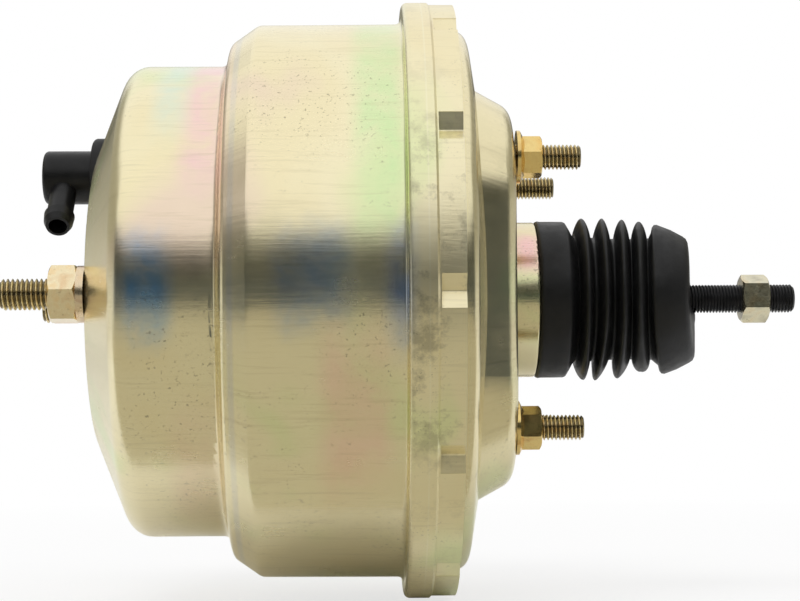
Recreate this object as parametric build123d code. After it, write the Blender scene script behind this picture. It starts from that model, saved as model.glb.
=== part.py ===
from build123d import *
import math
import os

os.makedirs("parts", exist_ok=True)

# Millimetres. X runs toward the pedal, Y away from the nozzle side, Z up.
# The origin is the centre of the firewall seat, and the booster's axis is X.

# Clearances
running_gap = 0.05
snug_gap = 0.05
loose_gap = 0.3
hole_gap = 0.2

# Stud patterns and threads
stud_pitch = 85.725
stud_offset = stud_pitch / 2
pitch_line_share = 0.3248
rear_stud_radius = 4.0
rear_thread_pitch = 1.25
rear_stud_tip = 21.4
rear_head_radius = 7.0
rear_head_height = 2.6
front_stud_radius = 5.0
front_thread_pitch = 1.5
front_stud_tip = -161.7
front_head_radius = 8.0
front_head_height = 3.0
rear_engaged_radius = rear_stud_radius - pitch_line_share * rear_thread_pitch
front_engaged_radius = front_stud_radius - pitch_line_share * front_thread_pitch

# Front shell
front_wall = 1.6
front_face = -134.9
front_inside = front_face + front_wall
pilot_radius = 20.5
pilot_depth = 9.0
pilot_bottom = front_face + pilot_depth
seal_hole_radius = 11.0
front_flat_radius = 49.0
small_drum_front = -122.7
small_drum_radius = 78.6
small_drum_round = 8.0
step_front = -91.9
step_edge = -90.2
step_edge_radius = 86.0
big_drum_front = -81.4
big_drum_radius = 92.1
rim_front = -34.7
big_drum_rim_radius = 92.4
rim_radius = 99.4
rim_step = -26.4
skirt_radius = 98.7
skirt_end = -17.9
skirt_inside = skirt_radius - front_wall
boss_radius = 17.5

# Crimp lances of the rim
lance_count = 12
lance_phase = -1.65
lance_half_width = 5.0
lance_depth = 3.1
lance_root = 0.3

# Rear shell
rear_wall = 2.0
clamp_rear = -25.3
clamp_radius = skirt_inside - loose_gap
clamp_front = clamp_rear - rear_wall
rear_drum_radius = 90.3
rear_shoulder = -14.1
rear_shoulder_round = 4.6
pad_base = -10.0
pad_base_half = 65.5
pad_half = 60.0
pad_corner = 33.0
pad_slope = (pad_base_half - pad_half) / -pad_base
pad_edge_round = 6.5
pad_root = -13.6
hub_radius = 26.1
hub_step = 10.2
hub_neck_radius = 24.3
hub_end = 20.0
rear_inside = -rear_wall
hub_inside = hub_radius - rear_wall
hub_neck_inside = hub_neck_radius - rear_wall

# Nuts and washers
front_nut_flats = 17.0
front_washer_radius = 9.0
front_washer_height = 2.4
front_nut_height = 8.7
front_nut_turn = 6.0
washer_slot = 1.4
rear_nut_flats = 12.0
rear_nut_height = 8.0
rear_flange_radius = 8.5
rear_flange_edge = 1.1
rear_flange_height = 2.4
rear_nut_turns = {(-1, -1): 37.0, (-1, 1): 7.5, (1, -1): 22.0, (1, 1): 51.0}
slack_nut = (-1, 1)
slack_gap = 1.0

# Stud plates inside the shells
front_plate_wall = 3.0
front_plate_radius = 47.0
front_plate_half = 29.0
front_plate_bore = pilot_radius + front_wall + 2 * loose_gap
front_plate_rear = front_inside + front_plate_wall
rear_plate_wall = 2.0
rear_plate_half = 52.0
rear_plate_corner = 26.0
rear_plate_bore = 31.0
rear_plate_front = rear_inside - rear_plate_wall

# Check valve
valve_y = 16.0
valve_z = 44.0
valve_body_radius = 9.2
valve_front = -157.1
valve_cap_round = 1.6
grommet_radius = 13.5
grommet_front = -140.3
grommet_neck_radius = 10.3
grommet_lip_radius = 11.6
grommet_lip = 2.4
valve_stem_radius = 7.4
valve_stem_end = -128.6
valve_chamber_radius = 6.6
valve_chamber_front = -154.9
valve_seat = -141.5
valve_port_radius = 3.6
valve_disc_radius = 5.9
valve_disc_wall = 1.6
valve_lift = 1.2
nozzle_x = -150.0
nozzle_turn = 224.6
nozzle_reach = 26.6
nozzle_radius = 4.4
barb_radius = 5.15
nozzle_bore = 3.1

# Centre plate, its seal and the diaphragms
plate_wall = 1.2
center_wall_front = -73.0
center_seal_radius = 27.0
center_seal_length = 8.0
center_dish_radius = 70.0
center_lip_front = -84.5
center_lip_inner = 79.5
center_lip_outer = 86.5
center_drum_front = -80.5
center_drum_radius = 89.9
diaphragm_wall = 1.8
bead_height = 5.0
rim_inside = rim_front + front_wall
primary_bead_front = rim_inside + plate_wall

# Power piston
stroke = 30.0
sleeve_radius = 24.0
sleeve_front = -80.0
nose_radius = 21.0
nose_front = -88.0
shoulder_radius = 30.0
shoulder_front = -26.0
shoulder_rear = -16.0
neck_root = -6.0
neck_radius = 18.5
neck_end = 42.0
reaction_bore = 13.0
reaction_seat = -66.0
plunger_nose_radius = 6.0
plunger_step = -56.0
plunger_radius = 8.0
poppet_seat = -8.0
seat_bore = 10.5
seat_depth = 5.0
neck_bore = 15.5
passage_radius = 1.9
passage_circle = 17.5
passage_end = -9.4
passage_count = 4

# Diaphragm plates
secondary_lip_radius = 66.0
primary_lip_radius = 80.0
secondary_lip = 6.5
primary_lip = 7.5
steel_plate_wall = 1.5
retainer_wall = 2.5
retainer_width = 4.5
primary_plate_rear = shoulder_front - 2.5

# Output side
output_radius = 5.0
output_tip = -133.0
output_tip_radius = 3.6
output_tip_length = 6.0
reaction_disc_wall = 6.0
output_head_wall = 4.0
reaction_ring_wall = 2.6
reaction_ring_bore = 8.5

# Input side
rod_radius = 4.7625
rod_tip = 98.1
rod_chamfer = 1.0
rod_thread_start = 60.5
rod_thread_pitch = 1.0583
rod_ball_radius = 5.5
rod_ball = -14.5
rod_neck_radius = 3.6
spring_collar_radius = 7.6
spring_collar = 20.0
spring_collar_wall = 1.6
jam_nut_flats = 14.3
jam_nut_rear = 89.2
jam_nut_height = 9.0
jam_nut_turn = 36.0
valve_travel = 1.5
plunger_tip = -64.0
plunger_shoulder = -52.0
plunger_end = -7.0
plunger_flange_radius = 9.8
plunger_flange_wall = 2.6
key_front = -26.0 + 1.2
key_wall = 2.0
key_half_width = 6.0
key_reach = 27.0
key_play = 0.25
waist_radius = 5.4
waist_play = 2.0

# Poppet, springs and filters in the neck
poppet_face = -6.8
poppet_face_radius = 13.6
poppet_face_bore = 7.4
poppet_wall = 2.0
poppet_sleeve_radius = 10.4
poppet_sleeve_wall = 1.3
poppet_bead = 4.0
poppet_bead_wall = 3.0
poppet_cup_wall = 1.5
silencer_front = 24.0
silencer_wall = 4.0
filter_end = 40.0
return_wire = 1.8
return_mean_radius = 30.0
return_turns = 4.5
poppet_wire = 0.5
poppet_spring_radius = 12.2
poppet_turns = 3
rod_wire = 0.6
rod_spring_radius = 6.2
rod_turns = 4
check_wire = 0.3
check_spring_radius = 4.2
check_turns = 4

# Hub guide and seal
hub_seal_start = 2.0
hub_seal_end = 7.9
hub_seal_ring_wall = 1.2
bush_start = 11.0
bush_end = 19.0

# Boot
boot_wall = 1.4
boot_collar_radius = 26.3
boot_collar_end = 20.1
boot_peaks = [(26.3, 27.4), (33.3, 27.4), (40.1, 27.0), (46.1, 26.3)]
boot_valleys = [24.0, 30.1, 36.8, 43.1, 49.5]
boot_valley_radius = 20.7
boot_cap_start = 51.1
boot_cap_start_radius = 25.0
boot_cap_end = 61.5
boot_cap_end_radius = 20.5
boot_end = 62.9


def lathe(outline, rounds=()):
    """Turn (x, r) points about X, each (point, radius) of rounds rounding one corner."""
    face = make_face(Polyline(*outline, close=True))
    for point, radius in rounds:
        corner = face.vertices().sort_by_distance(Vertex(point[0], point[1], 0))[0]
        face = fillet(corner, radius)
    return revolve(face, Axis.X)


def right_of(points, wall):
    """The same line moved to its right by the wall, with mitred corners."""
    moved = []
    for i, (x, r) in enumerate(points):
        normals = []
        for a, b in ((i - 1, i), (i, i + 1)):
            if a < 0 or b >= len(points):
                continue
            dx = points[b][0] - points[a][0]
            dr = points[b][1] - points[a][1]
            length = math.hypot(dx, dr)
            normals.append((dr / length, -dx / length))
        nx = sum(n[0] for n in normals)
        nr = sum(n[1] for n in normals)
        scale = wall / (nx * normals[0][0] + nr * normals[0][1])
        moved.append((x + nx * scale, r + nr * scale))
    return moved


def turn_sign(points, i):
    """1 where the line turns left at a point, -1 where it turns right."""
    ax = points[i][0] - points[i - 1][0]
    ar = points[i][1] - points[i - 1][1]
    bx = points[i + 1][0] - points[i][0]
    br = points[i + 1][1] - points[i][1]
    return 1 if ax * br - ar * bx > 0 else -1


def sheet(points, wall, bends):
    """Turn a sheet of even wall on the right of the points, with bends {index: radius on the points}."""
    other = right_of(points, wall)
    rounds = []
    for i, radius in bends.items():
        rounds.append((points[i], radius))
        rounds.append((other[i], max(radius + turn_sign(points, i) * wall, 0.25)))
    return lathe(points + other[::-1], rounds)


def ring(x0, x1, inner, outer):
    """A plain ring about X."""
    return lathe([(x0, inner), (x1, inner), (x1, outer), (x0, outer)])


def rod(x0, x1, radius):
    """A plain cylinder about X."""
    return lathe([(x0, 0), (x1, 0), (x1, radius), (x0, radius)])


def chamfered_rod(x0, x1, radius, start_cut, end_cut):
    """A cylinder about X with a chamfer at either end."""
    outline = [(x0, 0), (x1, 0), (x1, radius - end_cut), (x1 - end_cut, radius)]
    outline += [(x0 + start_cut, radius), (x0, radius - start_cut)]
    return lathe([p for i, p in enumerate(outline) if p not in outline[:i]])


def at_valve(part):
    """Move a piece from the booster's axis to the check valve's."""
    return Pos(0, valve_y, valve_z) * part


def coil(start, end, mean_radius, wire_radius, turns):
    """An open coil about X between two seats."""
    height = end - start - 2 * wire_radius
    path = Helix(pitch=height / turns, height=height, radius=mean_radius)
    section = Plane(origin=path @ 0, z_dir=path % 0) * Circle(wire_radius)
    return Pos(start + wire_radius, 0, 0) * Rot(0, 90, 0) * sweep(section, path=path)


def hex_nut(flats, height, bore):
    """A chamfered hexagon nut about X that starts at x = 0."""
    corner = flats / math.sqrt(3)
    cut = (corner - flats / 2) * 0.62
    crown = [(0, 0), (0, flats / 2), (cut, corner), (height - cut, corner), (height, flats / 2), (height, 0)]
    blank = extrude(Plane.YZ * RegularPolygon(flats / 2, 6, major_radius=False), amount=height)
    return (blank & lathe(crown)) - rod(-1, height + 1, bore)


def flange_nut():
    """A hexagon nut with a coned flange, seated at x = 0."""
    flats = rear_nut_flats
    body = hex_nut(flats, rear_nut_height, rear_engaged_radius + running_gap)
    skirt = [(0, rear_engaged_radius + running_gap), (rear_flange_height, rear_engaged_radius + running_gap)]
    skirt += [(rear_flange_height, flats / 2), (rear_flange_edge, rear_flange_radius), (0, rear_flange_radius)]
    return body + lathe(skirt)


def stud_places(pitch=stud_offset):
    """The four stud positions of the firewall square, as signs and offsets."""
    return [((sy, sz), sy * pitch, sz * pitch) for sy in (-1, 1) for sz in (-1, 1)]


def nose_line():
    """Outside line of the front shell, from the seal hole to the skirt's edge."""
    return [
        (pilot_bottom, seal_hole_radius),
        (pilot_bottom, pilot_radius),
        (front_face, pilot_radius),
        (front_face, front_flat_radius),
        (small_drum_front, small_drum_radius),
        (step_front, small_drum_radius),
        (step_edge, step_edge_radius),
        (big_drum_front, big_drum_radius),
        (rim_front, big_drum_rim_radius),
        (rim_front, rim_radius),
        (rim_step, rim_radius),
        (rim_step + (rim_radius - skirt_radius), skirt_radius),
        (skirt_end, skirt_radius),
    ]


def valve_boss():
    """The flat boss pressed out of the nose for the check valve's grommet."""
    inside = right_of(nose_line(), front_wall)
    low, high = inside[3], inside[4]
    hollow = lathe([(low[0], 0), low, high, (high[0] + stroke, high[1]), (high[0] + stroke, 0)])
    outer = fillet(rod(front_face, small_drum_front, boss_radius).edges().sort_by(Axis.X)[0], front_wall)
    return at_valve(outer) - hollow


def valve_boss_hollow():
    """The space inside the boss."""
    return at_valve(rod(front_inside, small_drum_front + stroke, boss_radius - front_wall))


def lance_window():
    """The piece of skirt that a lance is sheared from, at the top of the rim."""
    length = skirt_end - clamp_rear
    block = Box(length + 1, 2 * lance_half_width, 4 * front_wall)
    return Pos(clamp_rear + (length + 1) / 2, 0, skirt_radius - front_wall / 2) * block


def lance_band():
    """The V-shaped band pushed in behind the clamping flange, at the top of the rim."""
    half = lance_half_width + lance_root
    outer = math.sqrt(skirt_radius**2 - half**2)
    inner = math.sqrt(skirt_inside**2 - half**2)
    low = skirt_radius - lance_depth
    steep = math.hypot(half, outer - low) / half
    points = [(-half, outer), (0, low), (half, outer)]
    points += [(half, inner), (0, low - front_wall * steep), (-half, inner)]
    face = make_face(Polyline(*points, close=True))
    for point, radius in ((points[1], front_wall / 2), (points[4], front_wall)):
        face = fillet(face.vertices().sort_by_distance(Vertex(point[0], point[1], 0))[0], radius)
    return extrude(Plane.YZ.offset(clamp_rear) * face, amount=skirt_end - clamp_rear)


def around(part, count, phase):
    """Copies of a piece at the top turned round X, the first at phase degrees up from the -Y side."""
    return [Rot(90 - phase - i * 360 / count, 0, 0) * part for i in range(count)]


def front_shell():
    """Stepped front shell, its pilot recess, valve boss and lanced rim."""
    bends = {1: 1.2, 2: 2.0, 3: 6.0, 4: small_drum_round, 5: 2.6, 6: 3.4, 7: 4.0, 8: 2.0, 9: 2.0}
    shell = sheet(nose_line(), front_wall, bends)
    shell = shell + valve_boss() - valve_boss_hollow()
    shell = shell - at_valve(rod(front_face - 1, front_inside + 1, grommet_neck_radius + hole_gap / 2))
    for side in (-1, 1):
        hole = rod(front_face - 1, front_inside + 1, front_engaged_radius + hole_gap)
        shell = shell - Pos(0, side * stud_offset, 0) * hole
    shell = shell - around(lance_window(), lance_count, lance_phase)
    return shell + around(lance_band(), lance_count, lance_phase)


def pad_block(x0, x1, inset, edge):
    """A rounded-square block with sloping sides, x0 to x1, inset from the pad's outside."""
    ends = []
    for x in (x0, x1):
        half = pad_half - x * pad_slope - inset
        corner = pad_corner - x * pad_slope - inset
        ends.append(Plane.YZ.offset(x) * RectangleRounded(2 * half, 2 * half, corner))
    block = loft(ends)
    return fillet(block.faces().sort_by(Axis.X)[-1].edges(), edge)


def rear_shell():
    """Rear shell: clamping flange, drum, rounded-square firewall pad and hub tube."""
    tail = 2.5
    slope = (pad_base - rear_shoulder) / (rear_drum_radius - pad_base_half)
    line = [
        (clamp_rear, clamp_radius),
        (clamp_rear, rear_drum_radius),
        (rear_shoulder, rear_drum_radius),
        (pad_base + tail * slope, pad_base_half - tail),
    ]
    shell = sheet(line, rear_wall, {1: 1.5, 2: rear_shoulder_round})
    side_inset = rear_wall * math.hypot(1, pad_slope)
    shell = shell + pad_block(pad_root, 0, 0, pad_edge_round)
    shell = shell - pad_block(pad_root - rear_wall, rear_inside, side_inset, pad_edge_round - rear_wall)
    tube = [(rear_inside, hub_inside), (rear_inside, hub_radius), (hub_step, hub_radius)]
    tube += [(hub_step, hub_neck_radius), (hub_end, hub_neck_radius), (hub_end, hub_neck_inside)]
    tube += [(hub_step - rear_wall, hub_neck_inside), (hub_step - rear_wall, hub_inside)]
    shell = shell - rod(rear_inside - 1, 1, hub_inside) + lathe(tube, [(tube[2], 1.0), (tube[4], 0.8)])
    for _, y, z in stud_places():
        shell = shell - Pos(0, y, z) * rod(rear_inside - 1, 1, rear_engaged_radius + hole_gap)
    return shell


def front_stud_plate():
    """Reinforcing plate inside the nose that carries the two front stud heads."""
    plate = rod(front_inside, front_plate_rear, front_plate_radius)
    plate = plate & Pos(front_inside, 0, 0) * Box(stroke, 4 * stud_pitch, 2 * front_plate_half)
    plate = plate - rod(front_inside - 1, front_plate_rear + 1, front_plate_bore)
    for side in (-1, 1):
        hole = rod(front_inside - 1, front_plate_rear + 1, front_engaged_radius + hole_gap)
        plate = plate - Pos(0, side * stud_offset, 0) * hole
    return plate


def front_stud():
    """Master-cylinder stud: head inside, narrow where nuts engage, full thread size at its free end."""
    nut_front = front_face - front_washer_height - front_nut_height
    free = chamfered_rod(front_stud_tip, nut_front, front_stud_radius, 0.9, 0)
    shank = rod(nut_front, front_plate_rear, front_engaged_radius)
    head = chamfered_rod(front_plate_rear, front_plate_rear + front_head_height, front_head_radius, 0, 0.6)
    return free + shank + head


def front_studs():
    """The two master-cylinder studs."""
    return Part() + [Pos(0, side * stud_offset, 0) * front_stud() for side in (-1, 1)]


def front_lock_washers():
    """Split lock washers under the front nuts."""
    washer = ring(front_face - front_washer_height, front_face, front_engaged_radius + hole_gap, front_washer_radius)
    slot = Pos(front_face, 0, front_washer_radius) * Rot(0, 0, 24) * Box(6, washer_slot, front_washer_radius * 1.6)
    washer = washer - slot
    return Part() + [Pos(0, side * stud_offset, 0) * Rot(side * 35, 0, 0) * washer for side in (-1, 1)]


def front_nuts():
    """Hexagon nuts of the master-cylinder studs."""
    start = front_face - front_washer_height - front_nut_height
    nut = hex_nut(front_nut_flats, front_nut_height, front_engaged_radius + running_gap)
    return Part() + [Pos(start, side * stud_offset, 0) * Rot(-front_nut_turn, 0, 0) * nut for side in (-1, 1)]


def rear_stud_plate():
    """Reinforcing plate inside the firewall pad."""
    face = RectangleRounded(2 * rear_plate_half, 2 * rear_plate_half, rear_plate_corner)
    plate = extrude(Plane.YZ.offset(rear_plate_front) * face, amount=rear_plate_wall)
    plate = plate - rod(rear_plate_front - 1, rear_inside + 1, rear_plate_bore)
    for _, y, z in stud_places():
        hole = rod(rear_plate_front - 1, rear_inside + 1, rear_engaged_radius + hole_gap)
        plate = plate - Pos(0, y, z) * hole
    return plate


def rear_stud(nut_end):
    """Firewall stud whose full thread size starts at the outer face of its nut."""
    head = chamfered_rod(rear_plate_front - rear_head_height, rear_plate_front, rear_head_radius, 0.5, 0)
    shank = rod(rear_plate_front, nut_end, rear_engaged_radius)
    free = chamfered_rod(nut_end, rear_stud_tip, rear_stud_radius, 0, 0.8)
    return head + shank + free


def nut_base(sign):
    """How far a firewall nut stands off the seat."""
    return slack_gap if sign == slack_nut else 0


def rear_studs():
    """The four firewall studs."""
    return Part() + [Pos(0, y, z) * rear_stud(nut_base(sign) + rear_nut_height) for sign, y, z in stud_places()]


def rear_flange_nuts():
    """Flange nuts on the firewall studs."""
    nuts = [
        Pos(nut_base(sign), y, z) * Rot(-rear_nut_turns[sign], 0, 0) * flange_nut() for sign, y, z in stud_places()
    ]
    return Part() + nuts


def check_valve_grommet():
    """Rubber grommet that holds the check valve in the nose."""
    bore = valve_stem_radius + running_gap
    lip_end = front_inside + grommet_lip
    outline = [
        (grommet_front, bore),
        (lip_end, bore),
        (lip_end, grommet_neck_radius - 1),
        (front_inside, grommet_lip_radius),
        (front_inside, grommet_neck_radius),
        (front_face, grommet_neck_radius),
        (front_face, grommet_radius),
        (grommet_front, grommet_radius),
    ]
    return at_valve(lathe(outline, [(outline[7], 1.8), (outline[6], 0.8)]))


def check_valve_elbow():
    """Check-valve body with its stem and barbed hose nozzle."""
    body = lathe(
        [
            (valve_front, 0),
            (valve_front, valve_body_radius),
            (grommet_front, valve_body_radius),
            (grommet_front, valve_stem_radius),
            (valve_stem_end, valve_stem_radius),
            (valve_stem_end, 0),
        ],
        [((valve_front, valve_body_radius), valve_cap_round), ((valve_stem_end, valve_stem_radius), 0.6)],
    )
    barb_end = nozzle_reach - 1.6
    barb_start = nozzle_reach - 6.0
    neck = [(0, 0), (0, nozzle_radius), (barb_start, nozzle_radius), (barb_start + 0.5, barb_radius)]
    neck += [(barb_end - 0.6, barb_radius - 0.25), (nozzle_reach, nozzle_radius - 0.4), (nozzle_reach, 0)]
    turn = Pos(nozzle_x, 0, 0) * Rot(nozzle_turn, 0, 0) * Rot(0, 0, 90)
    body = body + turn * lathe(neck)
    body = body - rod(valve_chamber_front, valve_seat, valve_chamber_radius)
    body = body - rod(valve_seat - 1, valve_stem_end + 1, valve_port_radius)
    return at_valve(body - turn * rod(0, nozzle_reach + 1, nozzle_bore))


def check_valve_disc():
    """Rubber disc that closes the check valve's seat."""
    return at_valve(chamfered_rod(valve_seat - valve_disc_wall, valve_seat, valve_disc_radius, 0.3, 0))


def check_valve_spring():
    """Light coil behind the check-valve disc."""
    end = valve_seat - valve_disc_wall
    return at_valve(coil(valve_chamber_front, end, check_spring_radius, check_wire, check_turns))


def center_plate():
    """Divider between the two vacuum chambers, clamped in the rim and at the step."""
    line = [
        (center_wall_front, center_seal_radius),
        (center_wall_front, center_dish_radius),
        (center_lip_front, center_lip_inner),
        (center_lip_front, center_lip_outer),
        (center_drum_front, center_drum_radius),
        (rim_inside, center_drum_radius),
        (rim_inside, clamp_radius - loose_gap),
    ]
    plate = sheet(line, plate_wall, {1: 3.0, 2: 2.0, 3: 2.0, 4: 2.0, 5: 1.5})
    lip = center_seal_radius + plate_wall
    start = center_wall_front - center_seal_length / 2 + plate_wall / 2
    return plate + ring(start, start + center_seal_length, center_seal_radius, lip)


def center_seal():
    """Rubber seal between the centre plate and the piston's sleeve."""
    start = center_wall_front - center_seal_length / 2 + plate_wall / 2
    end = start + center_seal_length
    inner = sleeve_radius + running_gap
    outer = center_seal_radius
    middle = (start + end) / 2
    outline = [(start, inner), (middle - 0.8, inner), (middle, inner + 0.6), (middle + 0.8, inner)]
    return lathe(outline + [(end, inner), (end, outer), (start, outer)])


def rear_diaphragm():
    """Primary diaphragm: rim bead, rolling fold and the web behind its plate."""
    lip = primary_lip_radius + loose_gap
    middle = (primary_bead_front + clamp_front) / 2
    fold = primary_plate_rear - 2 * primary_lip
    line = [
        (primary_plate_rear, sleeve_radius + running_gap),
        (primary_plate_rear, lip),
        (fold, lip + 0.6),
        (fold, center_drum_radius - plate_wall - 1.0),
        (middle, center_drum_radius - plate_wall - 0.4),
        (middle, clamp_radius - bead_height),
    ]
    web = sheet(line, diaphragm_wall, {1: 1.0, 2: 2.4, 3: 2.4, 4: 2.2})
    bead = ring(primary_bead_front, clamp_front, clamp_radius - bead_height, clamp_radius - loose_gap)
    hub = ring(primary_plate_rear, shoulder_front, sleeve_radius + running_gap, shoulder_radius - 1)
    return web + bead + hub


def front_diaphragm():
    """Secondary diaphragm, its bead held between the step and the centre plate."""
    lip = secondary_lip_radius + loose_gap
    bead_front = step_edge + front_wall + loose_gap
    middle = (bead_front + center_lip_front) / 2 - diaphragm_wall / 2
    fold = sleeve_front - 2 * secondary_lip
    line = [
        (sleeve_front, sleeve_radius + running_gap),
        (sleeve_front, lip),
        (fold, lip + 0.6),
        (fold, small_drum_radius - front_wall - 1.6),
        (middle, small_drum_radius - front_wall - 0.6),
        (middle, center_lip_inner + 1),
    ]
    web = sheet(line, diaphragm_wall, {1: 1.0, 2: 2.2, 3: 2.2, 4: 1.6})
    return web + ring(bead_front, center_lip_front, center_lip_inner, center_lip_outer - 3)


def rear_diaphragm_plate():
    """Steel plate of the primary diaphragm, its rim turned forward."""
    front = primary_plate_rear - steel_plate_wall
    radius = primary_lip_radius
    line = [(front, sleeve_radius + snug_gap), (front, radius - steel_plate_wall)]
    line += [(front - primary_lip, radius - steel_plate_wall)]
    return sheet(line, steel_plate_wall, {1: 1.5})


def front_diaphragm_plate():
    """Steel plate of the secondary diaphragm."""
    front = sleeve_front - steel_plate_wall
    radius = secondary_lip_radius
    line = [(front, nose_radius + snug_gap), (front, radius - steel_plate_wall)]
    line += [(front - secondary_lip, radius - steel_plate_wall)]
    return sheet(line, steel_plate_wall, {1: 1.5})


def plate_retainers():
    """Two push-on rings that hold the diaphragm plates on the piston."""
    front_end = sleeve_front - steel_plate_wall
    rear_end = primary_plate_rear - steel_plate_wall
    first = ring(front_end - retainer_wall, front_end, nose_radius + snug_gap, nose_radius + retainer_width)
    second = ring(rear_end - retainer_wall, rear_end, sleeve_radius + snug_gap, sleeve_radius + retainer_width / 2)
    return Part() + [first, second]


def passage():
    """One vacuum passage, from the nose to the chamber beside the poppet seat."""
    along = Pos(0, 0, passage_circle) * rod(nose_front - 1, passage_end, passage_radius)
    depth = passage_circle - seat_bore + 1.5
    across = Pos(passage_end - passage_radius, 0, seat_bore - 1.5) * Cylinder(
        passage_radius * 0.8, depth, align=(Align.CENTER, Align.CENTER, Align.MIN)
    )
    return along + across


def key_slot(reach, gap):
    """A flat bar through the axis along Z, for the key and its slot."""
    depth = key_wall + 2 * gap
    return Pos(key_front - gap + depth / 2, 0, 0) * Box(depth, 2 * (key_half_width + gap), 2 * reach)


def power_piston():
    """Moulded power piston: nose, sleeve, shoulder, long neck and the valve bores."""
    outline = [
        (nose_front, reaction_bore),
        (nose_front, nose_radius),
        (sleeve_front, nose_radius),
        (sleeve_front, sleeve_radius),
        (shoulder_front, sleeve_radius),
        (shoulder_front, shoulder_radius),
        (shoulder_rear, shoulder_radius),
        (shoulder_rear, sleeve_radius),
        (neck_root, neck_radius),
        (neck_end, neck_radius),
        (neck_end, neck_bore),
        (poppet_seat, neck_bore),
        (poppet_seat - 1, seat_bore + 2.6),
        (poppet_seat - 1, seat_bore + 1.8),
        (poppet_seat, seat_bore + 1.2),
        (poppet_seat, seat_bore),
        (poppet_seat - seat_depth, seat_bore),
        (poppet_seat - seat_depth, plunger_radius),
        (plunger_step, plunger_radius),
        (plunger_step, plunger_nose_radius + running_gap),
        (reaction_seat, plunger_nose_radius + running_gap),
        (reaction_seat, reaction_bore),
    ]
    body = lathe(outline, [(outline[9], 0.8), (outline[1], 1.2), (outline[6], 2.0)])
    for i in range(passage_count):
        body = body - Rot(45 + i * 360 / passage_count, 0, 0) * passage()
    return body - key_slot(shoulder_radius + 1, key_play)


def stop_key():
    """Forked key through the piston that limits the plunger's travel."""
    fork = Pos(key_front, 0, key_reach / 2) * Box(4 * key_wall, 2 * (waist_radius + loose_gap), key_reach)
    round_end = rod(key_front - key_wall, key_front + 2 * key_wall, waist_radius + loose_gap)
    return key_slot(key_reach, 0) - fork - round_end


def output_rod():
    """Output rod with its head in the piston and its stepped tip in the pilot recess."""
    head_front = reaction_seat - reaction_disc_wall - output_head_wall
    step = output_tip + output_tip_length
    tip = chamfered_rod(output_tip, step, output_tip_radius, 0.8, 0)
    head = rod(head_front, head_front + output_head_wall, reaction_bore - running_gap)
    return tip + rod(step, head_front + 1, output_radius) + head


def reaction_disc():
    """Rubber disc that shares the load between piston and plunger."""
    return rod(reaction_seat - reaction_disc_wall, reaction_seat, reaction_bore - running_gap)


def reaction_retainer():
    """Ring that keeps the output rod's head in the piston."""
    end = reaction_seat - reaction_disc_wall - output_head_wall
    return ring(end - reaction_ring_wall, end, reaction_ring_bore, reaction_bore - snug_gap)


def air_valve():
    """Valve plunger: nose, guide, keyed waist, sealing flange and ball socket."""
    waist_front = key_front - waist_play
    waist_rear = key_front + key_wall + waist_play
    flange = plunger_end - plunger_flange_wall
    guide = plunger_radius - running_gap
    outline = [
        (plunger_tip, 0),
        (plunger_tip, plunger_nose_radius),
        (plunger_shoulder, plunger_nose_radius),
        (plunger_shoulder, guide),
        (waist_front, guide),
        (waist_front, waist_radius),
        (waist_rear, waist_radius),
        (waist_rear, guide),
        (flange, guide),
        (flange, plunger_flange_radius),
        (plunger_end, plunger_flange_radius),
        (plunger_end, 0),
    ]
    body = lathe(outline, [(outline[1], 0.6)])
    socket = Pos(rod_ball, 0, 0) * Sphere(rod_ball_radius + running_gap)
    mouth = [(rod_ball, 0), (rod_ball, rod_ball_radius), (plunger_end + 1, rod_ball_radius + 1), (plunger_end + 1, 0)]
    return body - socket - lathe(mouth)


def push_rod():
    """Input rod: ball, spring collar, shank and threaded pedal end."""
    ball = Pos(rod_ball, 0, 0) * Sphere(rod_ball_radius)
    neck = rod(rod_ball, rod_ball + 14, rod_neck_radius)
    shank = lathe(
        [
            (rod_ball + 14, 0),
            (rod_tip, 0),
            (rod_tip, rod_radius - rod_chamfer),
            (rod_tip - rod_chamfer, rod_radius),
            (rod_ball + 15, rod_radius),
            (rod_ball + 14, rod_neck_radius),
        ]
    )
    collar = rod(spring_collar, spring_collar + spring_collar_wall, spring_collar_radius)
    relief_start = jam_nut_rear - jam_nut_height
    nut_zone = ring(relief_start, jam_nut_rear, rod_radius - pitch_line_share * rod_thread_pitch, rod_radius + 1)
    return ball + neck + shank + collar - nut_zone


def jam_nut():
    """Locking nut on the threaded end."""
    nut = hex_nut(jam_nut_flats, jam_nut_height, rod_radius - pitch_line_share * rod_thread_pitch + running_gap)
    return Pos(jam_nut_rear - jam_nut_height, 0, 0) * Rot(-jam_nut_turn, 0, 0) * nut


def poppet_valve():
    """Rubber poppet: sealing face, thin sleeve and the bead under its retainer."""
    face = ring(poppet_face, poppet_face + poppet_wall, poppet_face_bore, poppet_face_radius)
    inner = poppet_sleeve_radius - poppet_sleeve_wall
    sleeve = ring(poppet_face + poppet_wall, poppet_bead, inner, poppet_sleeve_radius)
    bead = ring(poppet_bead, poppet_bead + poppet_bead_wall, inner, neck_bore - running_gap)
    return face + sleeve + bead


def poppet_retainer():
    """Pressed cup that holds the poppet's bead and seats the rod spring."""
    start = poppet_bead + poppet_bead_wall
    flat = ring(start, start + poppet_cup_wall, rod_radius + 0.6, neck_bore - snug_gap)
    wall = ring(start, start + 3 * poppet_cup_wall, neck_bore - snug_gap - poppet_cup_wall, neck_bore - snug_gap)
    return flat + wall


def poppet_spring():
    """Coil that presses the poppet's face forward."""
    return coil(poppet_face + poppet_wall, poppet_bead, poppet_spring_radius, poppet_wire, poppet_turns)


def rod_spring():
    """Coil that returns the input rod."""
    start = poppet_bead + poppet_bead_wall + poppet_cup_wall
    return coil(start, spring_collar, rod_spring_radius, rod_wire, rod_turns)


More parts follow.
